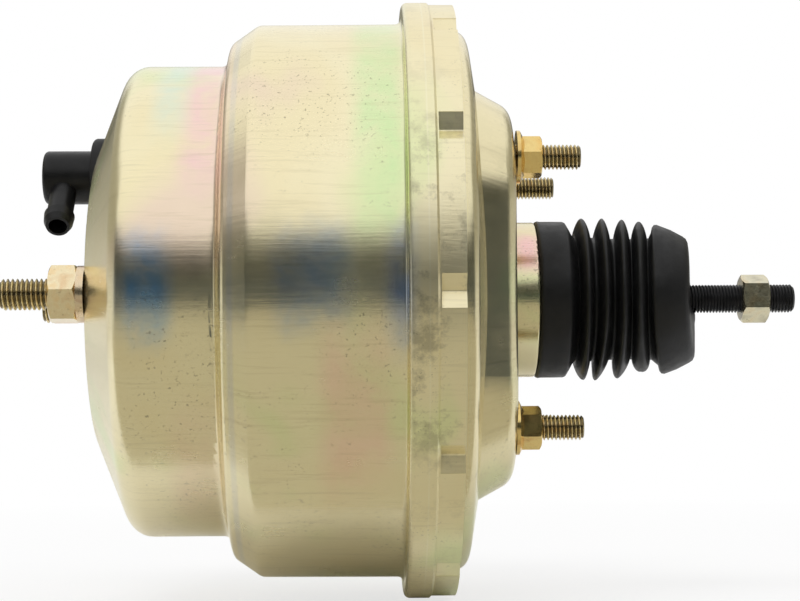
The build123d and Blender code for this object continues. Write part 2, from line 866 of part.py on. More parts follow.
def silencer():
    """Felt silencer ring in the neck."""
    return ring(silencer_front, silencer_front + silencer_wall, rod_radius + loose_gap, neck_bore - snug_gap)


def air_filter():
    """Foam air filter at the neck's open end."""
    start = silencer_front + silencer_wall
    return ring(start, filter_end, rod_radius + loose_gap, neck_bore - snug_gap)


def return_spring():
    """Main return spring between the nose and the secondary plate."""
    end = sleeve_front - steel_plate_wall
    return coil(front_plate_rear, end, return_mean_radius, return_wire, return_turns)


def front_seal():
    """Rubber seal round the output rod in the pilot recess."""
    inner = output_radius + running_gap
    outer = seal_hole_radius - snug_gap
    inside = pilot_bottom + front_wall
    outline = [
        (pilot_bottom - 1.4, inner),
        (inside + 2.2, inner),
        (inside + 2.2, outer + 1),
        (inside, outer + 2.4),
        (inside, outer),
        (pilot_bottom - 1.4, outer - 1),
    ]
    return lathe(outline)


def hub_seal():
    """Lip seal of the piston's neck."""
    inner = neck_radius + running_gap
    outer = hub_inside - snug_gap
    outline = [
        (hub_seal_start, outer),
        (hub_seal_end, outer),
        (hub_seal_end, inner + 2.4),
        (hub_seal_start + 2.4, inner + 2.4),
        (hub_seal_start + 2.0, inner),
        (hub_seal_start, inner + 0.6),
    ]
    return lathe(outline)


def hub_seal_retainer():
    """Flat ring pressed in front of the hub seal."""
    return ring(hub_seal_start - hub_seal_ring_wall, hub_seal_start, neck_radius + loose_gap, hub_inside - snug_gap)


def hub_bush():
    """Plastic guide bush of the piston's neck."""
    bush = ring(bush_start, bush_end, neck_radius + running_gap, hub_neck_inside - snug_gap)
    return bush + ring(bush_end, hub_end, neck_radius + running_gap, hub_neck_inside - snug_gap)


def boot():
    """Bellows boot from the hub's collar to its cap on the push rod."""
    line = [(hub_step + 0.1, boot_collar_radius), (boot_collar_end, boot_collar_radius)]
    for (peak, radius), valley in zip(boot_peaks, boot_valleys):
        line += [(valley, boot_valley_radius), (peak, radius)]
    line += [(boot_valleys[-1], boot_valley_radius), (boot_cap_start, boot_cap_start_radius)]
    line += [(boot_cap_end, boot_cap_end_radius), (boot_end, rod_radius + 5), (boot_end, rod_radius + snug_gap)]
    bends = {i: 0.7 for i in range(2, 11)}
    bends[1] = 1.0
    bends[11] = 1.6
    bends[12] = 1.8
    bellows = sheet(line, boot_wall, bends)
    return bellows + ring(hub_step + 0.1, hub_end, hub_neck_radius + snug_gap, boot_collar_radius - 0.5)


nodes = [
    front_shell,
    rear_shell,
    center_plate,
    center_seal,
    front_stud_plate,
    front_studs,
    front_nuts,
    front_lock_washers,
    rear_stud_plate,
    rear_studs,
    rear_flange_nuts,
    hub_bush,
    hub_seal,
    hub_seal_retainer,
    front_seal,
    rear_diaphragm,
    front_diaphragm,
    return_spring,
    boot,
    check_valve_grommet,
    check_valve_elbow,
    check_valve_disc,
    check_valve_spring,
    power_piston,
    rear_diaphragm_plate,
    front_diaphragm_plate,
    plate_retainers,
    reaction_disc,
    reaction_retainer,
    output_rod,
    stop_key,
    poppet_valve,
    poppet_spring,
    poppet_retainer,
    silencer,
    air_filter,
    push_rod,
    air_valve,
    rod_spring,
    jam_nut,
]
for node in nodes:
    export_step(node(), f"parts/{node.__name__}.step")
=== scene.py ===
# %% [markdown]
# # A tandem vacuum brake booster
# Two pressed and yellow-plated steel shells are crimped together round two
# diaphragms. Four studs clamp the pedal side to the firewall, two more carry the
# master cylinder, and a bellows boot keeps dust off the pushrod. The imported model
# gives every piece its place. This lesson adds the finishes, the real threads and
# the moulded rubber.

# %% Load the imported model
import math

import bpy
import numpy as np
from mathutils import Matrix, Vector


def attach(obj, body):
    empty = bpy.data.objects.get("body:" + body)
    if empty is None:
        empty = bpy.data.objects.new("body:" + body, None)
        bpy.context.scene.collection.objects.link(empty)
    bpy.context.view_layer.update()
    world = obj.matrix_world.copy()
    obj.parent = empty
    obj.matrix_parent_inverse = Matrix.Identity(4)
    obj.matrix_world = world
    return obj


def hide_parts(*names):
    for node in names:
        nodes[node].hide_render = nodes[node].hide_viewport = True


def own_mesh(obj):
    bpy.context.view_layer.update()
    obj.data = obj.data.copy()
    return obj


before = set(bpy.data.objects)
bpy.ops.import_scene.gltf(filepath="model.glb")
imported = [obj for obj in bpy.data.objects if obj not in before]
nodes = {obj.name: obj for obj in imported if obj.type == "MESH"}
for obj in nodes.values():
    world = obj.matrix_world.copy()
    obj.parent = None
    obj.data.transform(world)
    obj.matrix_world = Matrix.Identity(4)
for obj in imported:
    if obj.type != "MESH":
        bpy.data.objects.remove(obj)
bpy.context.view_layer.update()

# %% [markdown]
# ## The camera
# The photograph was taken from straight beside the booster with a short telephoto.
# The near studs look about a sixth larger than the far ones, and that ratio fixes
# the distance. The booster itself is rolled a few degrees about its axis, so the
# camera stands that many degrees below the stud line.

# %% Camera
MM = 0.001
roll = math.radians(3.3)
yaw = math.radians(1.32)
tilt = math.radians(0.3)
distance = 659 * MM
focal_pixels = 1951
picture_width = 800

toward = Vector((0, math.cos(roll), math.sin(roll)))
above = Vector((0, -math.sin(roll), math.cos(roll)))
look = Matrix.Rotation(-yaw, 3, above) @ toward
up = Matrix.Rotation(tilt, 3, look) @ above
across = look.cross(up)

lens = bpy.data.cameras.new("bench_camera")
lens.sensor_width = 36
lens.lens = focal_pixels / picture_width * 36
lens.clip_start = 0.01
bench_camera = bpy.data.objects.new("bench_camera", lens)
bench_camera.matrix_world = Matrix.Translation(Vector((-50.3 * MM, 0, 0)) - toward * distance) @ Matrix(
    (across, up, -look)
).transposed().to_4x4()
bpy.context.collection.objects.link(bench_camera)
bpy.context.scene.camera = bench_camera
bpy.context.scene.view_settings.view_transform = "Standard"
print("camera", [round(v, 4) for v in bench_camera.location], "lens", round(lens.lens, 1))

# %% [markdown]
# ## A few helpers
# Most pieces are turned or threaded, so two mesh makers cover them. `skin` joins
# rings of points into a closed surface. `material` opens a node tree with its
# shader, and `Nodes` keeps the wiring short enough to read.

# %% Mesh helpers
def piece(name, points, faces, smooth=True, sharp=None):
    """Make an object from points in millimetres and faces."""
    mesh = bpy.data.meshes.new(name)
    mesh.from_pydata([tuple(c * MM for c in p) for p in points], [], faces)
    mesh.validate()
    if smooth:
        mesh.shade_smooth()
    if sharp:
        mesh.set_sharp_from_angle(angle=math.radians(sharp))
    made = bpy.data.objects.new(name, mesh)
    bpy.context.collection.objects.link(made)
    return made


def skin(rings, first=None, last=None, loop=False):
    """Faces between rings of equal length, with an optional point closing each end."""
    around = len(rings[0])
    points = [p for ring in rings for p in ring]
    faces = []
    for i in range(len(rings) if loop else len(rings) - 1):
        a = i * around
        b = (i + 1) % len(rings) * around
        faces += [(a + j, a + (j + 1) % around, b + (j + 1) % around, b + j) for j in range(around)]
    for middle, ring, turn in ((first, 0, 1), (last, len(rings) - 1, -1)):
        if middle is None:
            continue
        points.append(middle)
        base = ring * around
        for j in range(around):
            k = (j + 1) % around
            faces.append((len(points) - 1, base + (k if turn > 0 else j), base + (j if turn > 0 else k)))
    return points, faces


def circle(x, radius, around, y=0, z=0, squeeze=None):
    """One ring of points about X."""
    ring = []
    for j in range(around):
        angle = 2 * math.pi * j / around
        dx, dr = squeeze(angle) if squeeze else (0, 0)
        ring.append((x + dx, y + (radius + dr) * math.cos(angle), z + (radius + dr) * math.sin(angle)))
    return ring


# %% Material helpers
class Nodes:
    """A material's nodes, wired by short calls."""

    def __init__(self, name):
        self.material = bpy.data.materials.new(name)
        self.material.use_nodes = True
        self.tree = self.material.node_tree
        self.shader = self.tree.nodes["Principled BSDF"]
        self.place = self.node("ShaderNodeTexCoord").outputs["Object"]

    def node(self, kind, inputs=None, **settings):
        made = self.tree.nodes.new(kind)
        for key, value in settings.items():
            setattr(made, key, value)
        for key, value in (inputs or {}).items():
            if isinstance(value, bpy.types.NodeSocket):
                self.tree.links.new(value, made.inputs[key])
            else:
                made.inputs[key].default_value = value
        return made

    def math(self, operation, a, b=0.0, clamp=False):
        return self.node("ShaderNodeMath", {0: a, 1: b}, operation=operation, use_clamp=clamp).outputs[0]

    def noise(self, scale, detail=3.0, rough=0.5, place=None, distortion=0.0):
        vector = self.place if place is None else place
        inputs = {"Vector": vector, "Scale": scale, "Detail": detail, "Roughness": rough}
        inputs["Distortion"] = distortion
        return self.node("ShaderNodeTexNoise", inputs).outputs["Fac"]

    def ramp(self, fac, stops, ease="LINEAR"):
        made = self.node("ShaderNodeValToRGB", {0: fac})
        made.color_ramp.interpolation = ease
        elements = made.color_ramp.elements
        while len(elements) < len(stops):
            elements.new(0.5)
        for element, (at, color) in zip(elements, stops):
            element.position = at
            element.color = (*color, 1) if isinstance(color, tuple) else (color, color, color, 1)
        return made.outputs[0]

    def mix(self, fac, a, b, blend="MIX"):
        made = self.node("ShaderNodeMix", data_type="RGBA", blend_type=blend)
        for key, value in ((0, fac), (6, a), (7, b)):
            if isinstance(value, bpy.types.NodeSocket):
                self.tree.links.new(value, made.inputs[key])
            else:
                made.inputs[key].default_value = (*value, 1) if isinstance(value, tuple) else value
        return made.outputs[2]

    def drum_place(self, along, round_):
        """Coordinates that run along X and round it without a seam, and the place along X."""
        split = self.node("ShaderNodeSeparateXYZ", {0: self.place}).outputs
        angle = self.node("ShaderNodeMath", {0: split[2], 1: split[1]}, operation="ARCTAN2").outputs[0]
        wrap = (self.math("COSINE", angle), self.math("SINE", angle))
        flat = self.node("ShaderNodeCombineXYZ", {0: self.math("MULTIPLY", split[0], along)})
        self.tree.links.new(self.math("MULTIPLY", wrap[0], round_), flat.inputs[1])
        self.tree.links.new(self.math("MULTIPLY", wrap[1], round_), flat.inputs[2])
        return flat.outputs[0], split[0]

    def bump(self, height, strength, distance, normal=None):
        inputs = {"Height": height, "Strength": strength, "Distance": distance}
        if normal is not None:
            inputs["Normal"] = normal
        return self.node("ShaderNodeBump", inputs).outputs[0]

    def finish(self, color=None, rough=None, normal=None, **values):
        for key, value in (("Base Color", color), ("Roughness", rough), ("Normal", normal)):
            if isinstance(value, bpy.types.NodeSocket):
                self.tree.links.new(value, self.shader.inputs[key])
            elif value is not None:
                self.shader.inputs[key].default_value = (*value, 1) if isinstance(value, tuple) else value
        for key, value in values.items():
            self.shader.inputs[key.replace("_", " ")].default_value = value
        return self.material


def dress(name, finish):
    """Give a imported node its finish."""
    slots = nodes[name].data.materials
    for i in range(max(len(slots), 1)):
        if len(slots) == 0:
            slots.append(finish)
        else:
            slots[i] = finish


# %% [markdown]
# ## Yellow zinc plate on the shells
# Chromate on zinc is a very thin clear skin over bright metal. Its thickness drifts
# across the drum, so the gold swings toward green, pink and blue in wide soft
# patches. Deep drawing leaves faint marks along the axis, and handling leaves short
# dark scuffs. The colour comes from noise wrapped round the drum, so no seam shows.

# %% Shell finish
def band(n, value, low, high, soft):
    """1 where a value lies between low and high, fading over the soft width on both sides."""
    ease = {"interpolation_type": "SMOOTHSTEP"}
    rise = n.node("ShaderNodeMapRange", {0: value, 1: low - soft, 2: low + soft}, **ease)
    fall = n.node("ShaderNodeMapRange", {0: value, 1: high + soft, 2: high - soft}, **ease)
    return n.math("MULTIPLY", rise.outputs[0], fall.outputs[0])


# Each patch: its reach along X in mm, its reach in degrees above the stud line, its colour and its share.
tint_patches = [
    ((-50, -36), (12, 80), (0.58, 0.84, 0.42), 0.62),
    ((-60, -40), (-40, -12), (0.92, 0.62, 0.50), 0.55),
    ((-103, -90), (25, 75), (0.92, 0.58, 0.66), 0.65),
    ((-112, -103), (40, 80), (0.55, 0.80, 0.78), 0.45),
    ((-120, -106), (-7, 7), (0.10, 0.42, 0.80), 0.85),
    ((-74, -52), (-4, 7), (0.12, 0.36, 0.72), 0.65),
    ((-40, -34), (-8, 6), (0.10, 0.30, 0.75), 0.75),
    ((-106, -92), (-62, -30), (0.90, 0.66, 0.52), 0.40),
    ((2, 11), (20, 50), (0.95, 0.55, 0.60), 0.75),
]


def zinc_plate(name, gold, tint, draw, rim_wear_and_shade):
    n = Nodes(name)
    wrapped, x = n.drum_place(9.0, 0.55)
    split = n.node("ShaderNodeSeparateXYZ", {0: n.place}).outputs
    side = n.math("MULTIPLY", split[1], -1.0)
    angle = n.node("ShaderNodeMath", {0: split[2], 1: side}, operation="ARCTAN2").outputs[0]
    wander = n.math("MULTIPLY", n.math("SUBTRACT", n.noise(40.0, 4.0, 0.65), 0.5), 0.35)
    angle = n.math("ADD", angle, wander)
    drift = n.noise(1.6, 3.0, 0.55, wrapped, 0.4)
    skin_color = n.ramp(
        drift,
        [
            (0.30, (0.84, 0.66, 0.54)),
            (0.40, (0.88, 0.78, 0.50)),
            (0.50, gold),
            (0.60, (0.76, 0.82, 0.46)),
            (0.70, (0.88, 0.75, 0.56)),
        ],
        "EASE",
    )
    color = n.mix(tint, gold, skin_color)
    ragged = n.ramp(n.noise(55.0, 4.0, 0.6, distortion=0.6), [(0.30, 0.35), (0.60, 1.0)])
    for (x0, x1), (low, high), patch, share in tint_patches:
        along = band(n, x, x0 * MM, x1 * MM, 4 * MM)
        about = band(n, angle, math.radians(low), math.radians(high), 0.14)
        cover = n.math("MULTIPLY", n.math("MULTIPLY", along, about), ragged)
        color = n.mix(n.math("MULTIPLY", cover, share), color, patch)

    streaks = n.noise(3.0, 4.0, 0.6, n.drum_place(14.0, 26.0)[0])
    cloud = n.noise(26.0, 4.0, 0.6)
    color = n.mix(n.ramp(streaks, [(0.30, 0.16), (0.46, 0.0)]), color, (0.40, 0.34, 0.20))
    specks = n.ramp(n.noise(900.0, 2.0, 0.7), [(0.62, 0.0), (0.70, 1.0)])
    patch = n.ramp(cloud, [(0.46, 0.0), (0.62, 1.0)])
    color = n.mix(n.math("MULTIPLY", n.math("MULTIPLY", specks, patch), 0.5), color, (0.16, 0.14, 0.10))
    scuffs = n.ramp(n.noise(22.0, 2.0, 0.4, n.drum_place(30.0, 60.0)[0]), [(0.68, 0.0), (0.74, 1.0)])
    scuffs = n.math("MULTIPLY", scuffs, n.ramp(n.noise(30.0, 2.0), [(0.52, 0.0), (0.62, 1.0)]))
    color = n.mix(n.math("MULTIPLY", scuffs, 0.6), color, (0.16, 0.14, 0.09))

    rough = n.ramp(n.noise(60.0, 4.0, 0.6), [(0.3, 0.17), (0.7, 0.25)])
    rough = n.math("ADD", rough, n.math("MULTIPLY", streaks, 0.06))
    grain = n.math("MULTIPLY", n.noise(420.0, 3.0, 0.6), 0.5)
    height = n.math("ADD", n.math("MULTIPLY", streaks, draw), grain)
    # The rim's marks are partly wear and partly painted shade.
    if rim_wear_and_shade:
        color, rough, height = crimp_marks_and_rim_shade(n, x, angle, color, rough, height)
    normal = n.bump(height, 0.07, 0.0004)
    normal = n.bump(n.noise(34.0, 2.0, 0.5), 0.10, 0.0015, normal)
    return n.finish(color, rough, normal, Metallic=0.95)


# %% Marks that the crimping press left on the skirt, and painted shade on the rim
def crimp_marks_and_rim_shade(n, x, angle, color, rough, height):
    """Wrinkles behind the rim, a rubbed line, dark patches on the rim that are partly grime and partly
    painted shade, and a bright bead on the step.
    """
    skirt = band(n, x, -25.0 * MM, -17.0 * MM, 0.6 * MM)
    rim = band(n, x, -34.0 * MM, -17.0 * MM, 0.8 * MM)
    pressed = n.noise(5.0, 3.0, 0.6, n.drum_place(24.0, 22.0)[0])
    height = n.math("ADD", height, n.math("MULTIPLY", n.math("MULTIPLY", pressed, skirt), 2.4))
    rubbed = n.math("MULTIPLY", band(n, x, -28.9 * MM, -28.5 * MM, 0.2 * MM), n.noise(60.0, 4.0, 0.7))
    color = n.mix(n.math("MULTIPLY", rubbed, 0.8), color, (0.95, 0.90, 0.68))
    dark_patches = n.ramp(n.noise(75.0, 5.0, 0.7), [(0.50, 0.0), (0.62, 1.0)])
    # Painted shade: the rim's dark patches, partly grime, are heaviest in the band facing the camera,
    # from about 31° below to 26° above the stud line.
    low = band(n, angle, -0.55, 0.45, 0.25)
    share = n.math("ADD", n.math("MULTIPLY", low, 0.45), 0.12)
    dark_patches = n.math("MULTIPLY", n.math("MULTIPLY", dark_patches, rim), share)
    color = n.mix(dark_patches, color, (0.30, 0.27, 0.18))
    rough = n.math("ADD", rough, n.math("MULTIPLY", rim, 0.10))
    edge = n.math("MULTIPLY", band(n, x, -88.0 * MM, -86.2 * MM, 0.5 * MM), n.noise(45.0, 5.0, 0.7))
    color = n.mix(n.math("MULTIPLY", edge, 0.8), color, (0.62, 0.62, 0.60))
    return color, rough, height


front_zinc = zinc_plate("zinc_front_shell", (0.90, 0.82, 0.55), 0.75, 0.9, True)
rear_zinc = zinc_plate("zinc_rear_shell", (0.80, 0.72, 0.46), 0.55, 0.6, False)
dress("front_shell", front_zinc)
dress("rear_shell", rear_zinc)
print("shell finishes", front_zinc.name, rear_zinc.name)

# %% [markdown]
# ## Plated hardware, black steel and plain steel
# Studs and nuts wear the same plate, brighter and more yellow. The pushrod is black
# oxide, which keeps a metal's highlight but hardly any colour. Pieces inside the
# shells are plain pressed steel, spring wire, rubber and resin.

# %% Hardware finishes
def thread_shade(n, color, root, crest, pitch_radius):
    """Painted shade in the thread roots: darken toward the root radius of threads whose bars stand off
    the axis by the pitch radius.
    """
    split = n.node("ShaderNodeSeparateXYZ", {0: n.place}).outputs
    squares = []
    for axis, offset in ((1, pitch_radius[0]), (2, pitch_radius[1])):
        local = n.math("SUBTRACT", n.math("ABSOLUTE", split[axis]), offset * MM)
        squares.append(n.math("MULTIPLY", local, local))
    reach = n.math("SQRT", n.math("ADD", *squares))
    cover = n.node("ShaderNodeMapRange", {0: reach, 1: crest * MM, 2: root * MM}).outputs[0]
    return n.mix(n.math("MULTIPLY", cover, 0.85), color, (0.10, 0.08, 0.04))


def plated(name, gold, dark, rough_low, rough_high, thread=None):
    n = Nodes(name)
    drift = n.noise(150.0, 3.0, 0.5, distortion=0.5)
    color = n.ramp(drift, [(0.32, dark), (0.5, gold), (0.66, (gold[0], gold[1] * 0.9, gold[2] * 0.8))])
    dark_patches = n.ramp(n.noise(700.0, 3.0, 0.6), [(0.62, 0.0), (0.75, 0.6)])
    color = n.mix(dark_patches, color, (0.20, 0.15, 0.08))
    if thread:
        # Painted shade in the stud threads' roots.
        color = thread_shade(n, color, *thread)
    rough = n.ramp(n.noise(400.0, 3.0, 0.6), [(0.3, rough_low), (0.7, rough_high)])
    normal = n.bump(n.noise(1600.0, 2.0, 0.6), 0.12, 0.0002)
    return n.finish(color, rough, normal, Metallic=0.95)


stud_offset = 42.8625
stud_gold = (0.80, 0.69, 0.42)
stud_dark = (0.66, 0.52, 0.28)
# Root and crest radii and bar offsets for the painted shade in the thread roots.
front_thread = (4.1, 4.8, (stud_offset, 0.0))
rear_thread = (3.25, 3.85, (stud_offset, stud_offset))
stud_zinc = plated("zinc_studs", stud_gold, stud_dark, 0.18, 0.28, front_thread)
rear_stud_zinc = plated("zinc_firewall_studs", stud_gold, stud_dark, 0.18, 0.28, rear_thread)
nut_zinc = plated("zinc_nuts", (0.88, 0.76, 0.50), (0.80, 0.60, 0.36), 0.14, 0.22)
flange_zinc = plated("zinc_flange_nuts", (0.84, 0.64, 0.26), (0.72, 0.48, 0.18), 0.14, 0.24)
jam_zinc = plated("zinc_locking_nut", (0.68, 0.63, 0.45), (0.48, 0.44, 0.32), 0.14, 0.24)
washer_zinc = plated("zinc_lock_washers", (0.80, 0.66, 0.46), (0.60, 0.42, 0.30), 0.18, 0.30)


def black_steel(name):
    n = Nodes(name)
    shades = [(0.3, (0.012, 0.012, 0.013)), (0.7, (0.035, 0.035, 0.036))]
    color = n.ramp(n.noise(260.0, 4.0, 0.6), shades)
    rough = n.ramp(n.noise(500.0, 3.0, 0.6), [(0.3, 0.30), (0.7, 0.46)])
    normal = n.bump(n.noise(1800.0, 2.0), 0.10, 0.0002)
    return n.finish(color, rough, normal, Metallic=0.55)


def bare_steel(name, light, dark, rough):
    n = Nodes(name)
    wrapped = n.drum_place(60.0, 2.0)[0]
    color = n.ramp(n.noise(4.0, 4.0, 0.6, wrapped), [(0.3, dark), (0.7, light)])
    mottled = n.ramp(n.noise(200.0, 3.0, 0.6), [(0.3, rough), (0.7, rough + 0.14)])
    normal = n.bump(n.noise(900.0, 3.0), 0.12, 0.0002)
    return n.finish(color, mottled, normal, Metallic=0.95)


oxide = black_steel("black_oxide_pushrod")
pressed_steel = bare_steel("pressed_steel", (0.60, 0.60, 0.58), (0.46, 0.46, 0.45), 0.28)
spring_wire = bare_steel("spring_wire", (0.34, 0.35, 0.37), (0.22, 0.23, 0.25), 0.22)


# %% Rubber, plastic, foam and felt finishes
def soft_black(name, shade, rough, dust, grain):
    n = Nodes(name)
    powder = n.ramp(n.noise(60.0, 5.0, 0.65), [(0.52, 0.0), (0.74, dust)])
    color = n.mix(powder, (shade, shade, shade * 1.06), (0.10, 0.10, 0.10))
    lines = n.ramp(n.noise(300.0, 3.0, 0.6), [(0.3, rough - 0.06), (0.7, rough + 0.08)])
    fine = n.noise(grain, 3.0, 0.6)
    normal = n.bump(fine, 0.18, 0.0002)
    normal = n.bump(n.noise(90.0, 2.0, 0.5), 0.16, 0.0006, normal)
    return n.finish(color, lines, normal, Specular_IOR_Level=0.28)


boot_rubber = soft_black("boot_rubber", 0.007, 0.42, 0.10, 1400.0)
seal_rubber = soft_black("seal_rubber", 0.012, 0.55, 0.12, 1100.0)
valve_plastic = soft_black("valve_plastic", 0.006, 0.34, 0.06, 2200.0)


def cast_resin(name, light, dark, rough, fleck):
    n = Nodes(name)
    color = n.ramp(n.noise(140.0, 5.0, 0.65), [(0.3, dark), (0.7, light)])
    flecks = n.ramp(n.noise(fleck, 2.0, 0.6), [(0.60, 0.0), (0.72, 0.5)])
    color = n.mix(flecks, color, tuple(min(1.0, c * 1.8) for c in light))
    mottled = n.ramp(n.noise(220.0, 3.0), [(0.3, rough), (0.7, rough + 0.12)])
    return n.finish(color, mottled, n.bump(n.noise(fleck, 3.0, 0.6), 0.25, 0.0004))


piston_resin = cast_resin("piston_resin", (0.10, 0.060, 0.035), (0.055, 0.032, 0.02), 0.38, 900.0)
bush_plastic = cast_resin("bush_plastic", (0.72, 0.69, 0.60), (0.62, 0.59, 0.50), 0.35, 700.0)
filter_foam = cast_resin("filter_foam", (0.20, 0.20, 0.19), (0.05, 0.05, 0.05), 0.9, 1500.0)
silencer_felt = cast_resin("silencer_felt", (0.50, 0.45, 0.37), (0.34, 0.30, 0.24), 0.95, 2500.0)

finishes = {
    pressed_steel: "center_plate front_stud_plate rear_stud_plate hub_seal_retainer "
    "front_diaphragm_plate rear_diaphragm_plate output_rod poppet_retainer air_valve",
    spring_wire: "return_spring check_valve_spring plate_retainers reaction_retainer "
    "stop_key poppet_spring rod_spring",
    seal_rubber: "center_seal hub_seal front_seal rear_diaphragm front_diaphragm check_valve_grommet "
    "check_valve_disc reaction_disc poppet_valve",
    piston_resin: "power_piston",
    bush_plastic: "hub_bush",
    filter_foam: "air_filter",
    silencer_felt: "silencer",
    valve_plastic: "check_valve_elbow",
    nut_zinc: "front_nuts",
    flange_zinc: "rear_flange_nuts",
    washer_zinc: "front_lock_washers",
    jam_zinc: "jam_nut",
}
for finish, names in finishes.items():
    for name in names.split():
        dress(name, finish)
print("finishes", len(bpy.data.materials))

# %% [markdown]
# ## Real threads
# A thread is a helix, so each ring of a stud is the same wavy circle turned a little
# further than the one before it. The wave is a flat crest, a straight flank and a
# flat root, as a rolled thread has. It fades out over one turn at the tip's chamfer.

# %% Threaded bar
def thread_wave(turns):
    """Depth of the thread, 0 at a crest and 1 at a root, for a position in turns."""
    t = abs((turns % 1.0) * 2 - 1)
    return min(max((t - 0.14) / 0.64, 0.0), 1.0)


def threaded_line(start, end, radius, pitch, chamfer_start, chamfer_end, around=40, steps=10):
    """Rings of a threaded bar from start to end along X."""
    depth = 0.6134 * pitch
    count = max(int((end - start) / pitch * steps), 2)
    rings = []
    for i in range(count + 1):
        x = start + (end - start) * i / count
        limit = radius
        if chamfer_start:
            limit = min(limit, radius - chamfer_start + (x - start))
        if chamfer_end:
            limit = min(limit, radius - chamfer_end + (end - x))
        ring = []
        for j in range(around):
            angle = 2 * math.pi * j / around
            wave = thread_wave(x / pitch - j / around)
            r = min(radius - depth * wave, limit)
            ring.append((x, r * math.cos(angle), r * math.sin(angle)))
        rings.append(ring)
    return rings


def plain_line(points, around=40):
    """Rings of a turned line of (x, r) points."""
    return [circle(x, r, around) for x, r in points]


def moved(points, y, z):
    return [(px, py + y, pz + z) for px, py, pz in points]


def joined(parts):
    """Several (points, faces) as one."""
    points = []
    faces = []
    for part_points, part_faces in parts:
        base = len(points)
        points += part_points
        faces += [tuple(base + i for i in face) for face in part_faces]
    return points, faces


# %% Master-cylinder studs
front_tip, front_head, front_head_end = -161.7, -130.3, -127.3
rings = threaded_line(front_tip, front_head, 5.0, 1.5, 0.95, 0)
rings += plain_line([(front_head, 8.0), (front_head_end - 0.6, 8.0), (front_head_end, 7.4)])
front_bar = skin(rings, (front_tip, 0, 0), (front_head_end, 0, 0))
front_parts = [(moved(front_bar[0], side * stud_offset, 0), front_bar[1]) for side in (-1, 1)]
front_studs = piece("threaded_front_studs", *joined(front_parts), sharp=35)
front_studs.data.materials.append(stud_zinc)
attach(front_studs, "housing")
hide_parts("front_studs")
print("front studs", len(front_studs.data.polygons), "faces")

# %% Firewall studs
rear_tip, rear_head, rear_head_end = 21.4, -4.0, -6.6
rings = plain_line([(rear_head_end, 6.5), (rear_head_end + 0.5, 7.0), (rear_head, 7.0)])
rings += threaded_line(rear_head, rear_tip, 4.0, 1.25, 0, 0.8)
rear_bar = skin(rings, (rear_head_end, 0, 0), (rear_tip, 0, 0))
corners = [(y, z) for y in (-1, 1) for z in (-1, 1)]
rear_parts = [(moved(rear_bar[0], y * stud_offset, z * stud_offset), rear_bar[1]) for y, z in corners]
rear_studs = piece("threaded_firewall_studs", *joined(rear_parts), sharp=35)
rear_studs.data.materials.append(rear_stud_zinc)
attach(rear_studs, "housing")
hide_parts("rear_studs")
print("firewall studs", len(rear_studs.data.polygons), "faces")

# %% Pushrod
rod_radius, rod_pitch, rod_tip, thread_start, ball_x = 4.7625, 1.0583, 98.1, 60.5, -14.5
ball = [(ball_x - 5.5 * math.cos(a), 5.5 * math.sin(a)) for a in np.linspace(0.15, 2.4, 14)]
rings = plain_line(ball + [(ball_x + 14, 3.6), (ball_x + 15, rod_radius), (20.0, rod_radius)])
rings += plain_line([(20.0, 7.6), (21.6, 7.6), (21.6, rod_radius), (thread_start, rod_radius)])
rings += threaded_line(thread_start, rod_tip, rod_radius, rod_pitch, 0, 0.9)
rod_mesh = skin(rings, (ball_x - 5.5, 0, 0), (rod_tip, 0, 0))
pushrod = piece("threaded_pushrod", *rod_mesh, sharp=35)
pushrod.data.materials.append(oxide)
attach(pushrod, "input_rod")
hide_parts("push_rod")
print("pushrod", len(pushrod.data.polygons), "faces")

# %% [markdown]
# ## The boot
# The boot is one moulding: a collar on the hub, four round folds and a stiff cap on
# the rod. Its folds hang a little, and the lower ones are pushed together. The shape
# is a row of fold profiles swept round, with a push that grows toward the bottom.
# The collar and the folds both stay with the housing.
# The collar's outside is left smooth.

# %% Boot line
around = 144
wall = 1.4
peaks = [(26.3, 27.4), (33.3, 27.4), (40.1, 27.0), (46.1, 26.3)]
valleys = [(23.3, 21.2), (29.8, 20.9), (36.7, 20.5), (43.1, 20.4), (49.3, 20.6)]


def fold_line():
    """Outside line of the folds: round crests on straight flanks, with narrow valleys between."""
    half_width = 2.75
    line = []
    for (left, low), (peak, high), (right, low_after) in zip(valleys, peaks, valleys[1:]):
        line.append((left, low))
        for i in range(17):
            u = i / 8 - 1
            base = low_after if u > 0 else low
            line.append((peak + half_width * u, base + (high - base) * (1 - abs(u) ** 1.9) ** 0.85))
    line.append(valleys[-1])
    return line


rod_play = 0.05
cap_line = [(50.1, 22.4), (50.5, 24.2), (51.2, 25.1), (52.2, 25.2), (56.8, 23.4), (61.0, 21.2)]
cap_line += [(62.1, 20.4), (62.7, 19.2), (62.9, 17.6), (63.0, 12.0), (63.0, 8.0), (63.2, 6.6)]
cap_line += [(63.2, rod_radius + rod_play)]
collar_line = [(10.3, 24.4), (10.3, 25.6), (10.5, 26.2), (11.2, 26.5), (12.0, 26.35), (16.0, 26.35)]
collar_line += [(19.6, 26.3), (20.3, 26.0), (21.4, 24.2), (22.6, 22.0)]
print("boot line", len(fold_line()) + len(cap_line) + len(collar_line), "points")


# %% Boot pieces
hang_places = [22.5, 26.3, 33.3, 40.1, 46.1, 50.0, 56.0]
hang_shift = [0.0, 0.3, -2.7, -1.8, 0.0, 2.0, 1.6]
hang_lift = [0.0, 0.2, 0.0, 0.2, 1.8, 0.0, -0.4]
lean = 0.155


